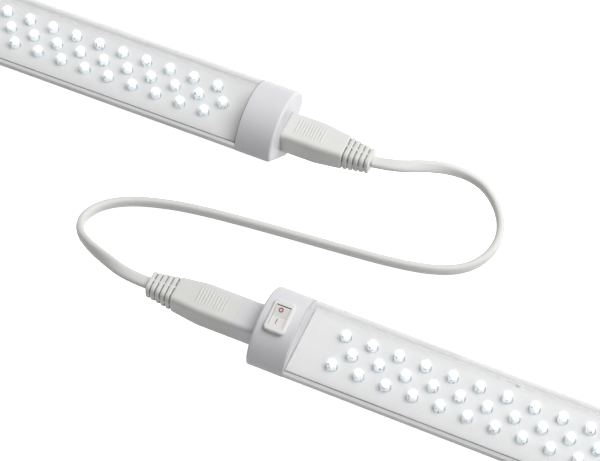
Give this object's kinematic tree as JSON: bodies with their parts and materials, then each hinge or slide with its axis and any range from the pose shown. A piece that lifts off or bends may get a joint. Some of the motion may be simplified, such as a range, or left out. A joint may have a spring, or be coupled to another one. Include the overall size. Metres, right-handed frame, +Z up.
{
  "type": "led light tube",
  "caption": "Linked pair of slim LED light tubes with clear arched lens over staggered LEDs, V-shaped back, end caps with rocker switch, and a short flat link lead between them.",
  "frame": {"origin": "middle of the linked pair, on the plane that the mounting clips stand on", "axes": "+X along both tubes from inlet end to outlet end, +Y across towards the tube that feeds the other, +Z up, the way the LEDs shine"},
  "size_m": [0.6448, 0.1352, 0.0412],
  "materials": {
    "housing_white": "satin white powder coat on an aluminium channel",
    "lens_clear": "clear polycarbonate, polished",
    "reflector_white": "satin white sheet",
    "led_epoxy": "water-clear epoxy domes",
    "circuit_board": "glass-epoxy board with solder mask",
    "components": "moulded component bodies",
    "wire_insulation": "PVC wire insulation",
    "screw_steel": "zinc plated",
    "cap_white": "satin moulded ABS",
    "collar_white": "satin moulded ABS",
    "socket_white": "moulded nylon",
    "contact_brass": "tin-flashed brass",
    "switch_white": "satin moulded nylon",
    "clip_white": "moulded acetal",
    "lead_pvc": "soft moulded PVC, warm white",
    "cord_pvc": "extruded PVC flat cord, warm white"
  },
  "bodies": {
    "tube_a": {"housing_a": "housing_white", "lens_cover_a": "lens_clear", "reflector_a": "reflector_white", "leds_a": "led_epoxy", "led_board_a": "circuit_board", "driver_board_a": "circuit_board", "driver_components_a": "components", "through_wires_a": "wire_insulation", "cap_screws_a": "screw_steel", "inlet_cap_a": "cap_white", "inlet_collar_a": "collar_white", "inlet_pins_a": "contact_brass", "outlet_cap_a": "cap_white", "outlet_socket_a": "socket_white", "outlet_contacts_a": "contact_brass", "switch_bezel_a": "switch_white", "switch_case_a": "switch_white", "switch_pivot_a": "screw_steel", "switch_terminals_a": "contact_brass", "mounting_clip_1_a": "clip_white", "mounting_clip_2_a": "clip_white"},
    "link_lead": {"plug_body": "lead_pvc", "plug_pins": "contact_brass", "plug_strain_relief": "lead_pvc", "connector_body": "lead_pvc", "connector_contacts": "contact_brass", "connector_strain_relief": "lead_pvc", "link_cord": "cord_pvc"},
    "tube_b": {"housing_b": "housing_white", "lens_cover_b": "lens_clear", "reflector_b": "reflector_white", "leds_b": "led_epoxy", "led_board_b": "circuit_board", "driver_board_b": "circuit_board", "driver_components_b": "components", "through_wires_b": "wire_insulation", "cap_screws_b": "screw_steel", "inlet_cap_b": "cap_white", "inlet_collar_b": "collar_white", "inlet_pins_b": "contact_brass", "outlet_cap_b": "cap_white", "outlet_socket_b": "socket_white", "outlet_contacts_b": "contact_brass", "switch_bezel_b": "switch_white", "switch_case_b": "switch_white", "switch_pivot_b": "screw_steel", "switch_terminals_b": "contact_brass", "mounting_clip_1_b": "clip_white", "mounting_clip_2_b": "clip_white"},
    "rocker_a": {"switch_rocker_a": "switch_white"},
    "rocker_b": {"switch_rocker_b": "switch_white"}
  },
  "joints": [
    {"name": "plug_pull", "type": "slide", "parent": "tube_a", "child": "link_lead", "axis": [1, 0, 0], "range_m": [0, 0.016]},
    {"name": "connector_pull", "type": "slide", "parent": "link_lead", "child": "tube_b", "axis": [1, 0, 0], "range_m": [0, 0.012]},
    {"name": "rocker_a_tilt", "type": "hinge", "parent": "tube_a", "child": "rocker_a", "pos_m": [-0.3018, 0.04671, 0.03638], "axis": [1, 0, 0], "range_deg": [-14, 0]},
    {"name": "rocker_b_tilt", "type": "hinge", "parent": "tube_b", "child": "rocker_b", "pos_m": [0.031, -0.05078, 0.03638], "axis": [1, 0, 0], "range_deg": [-14, 0]}
  ]
}
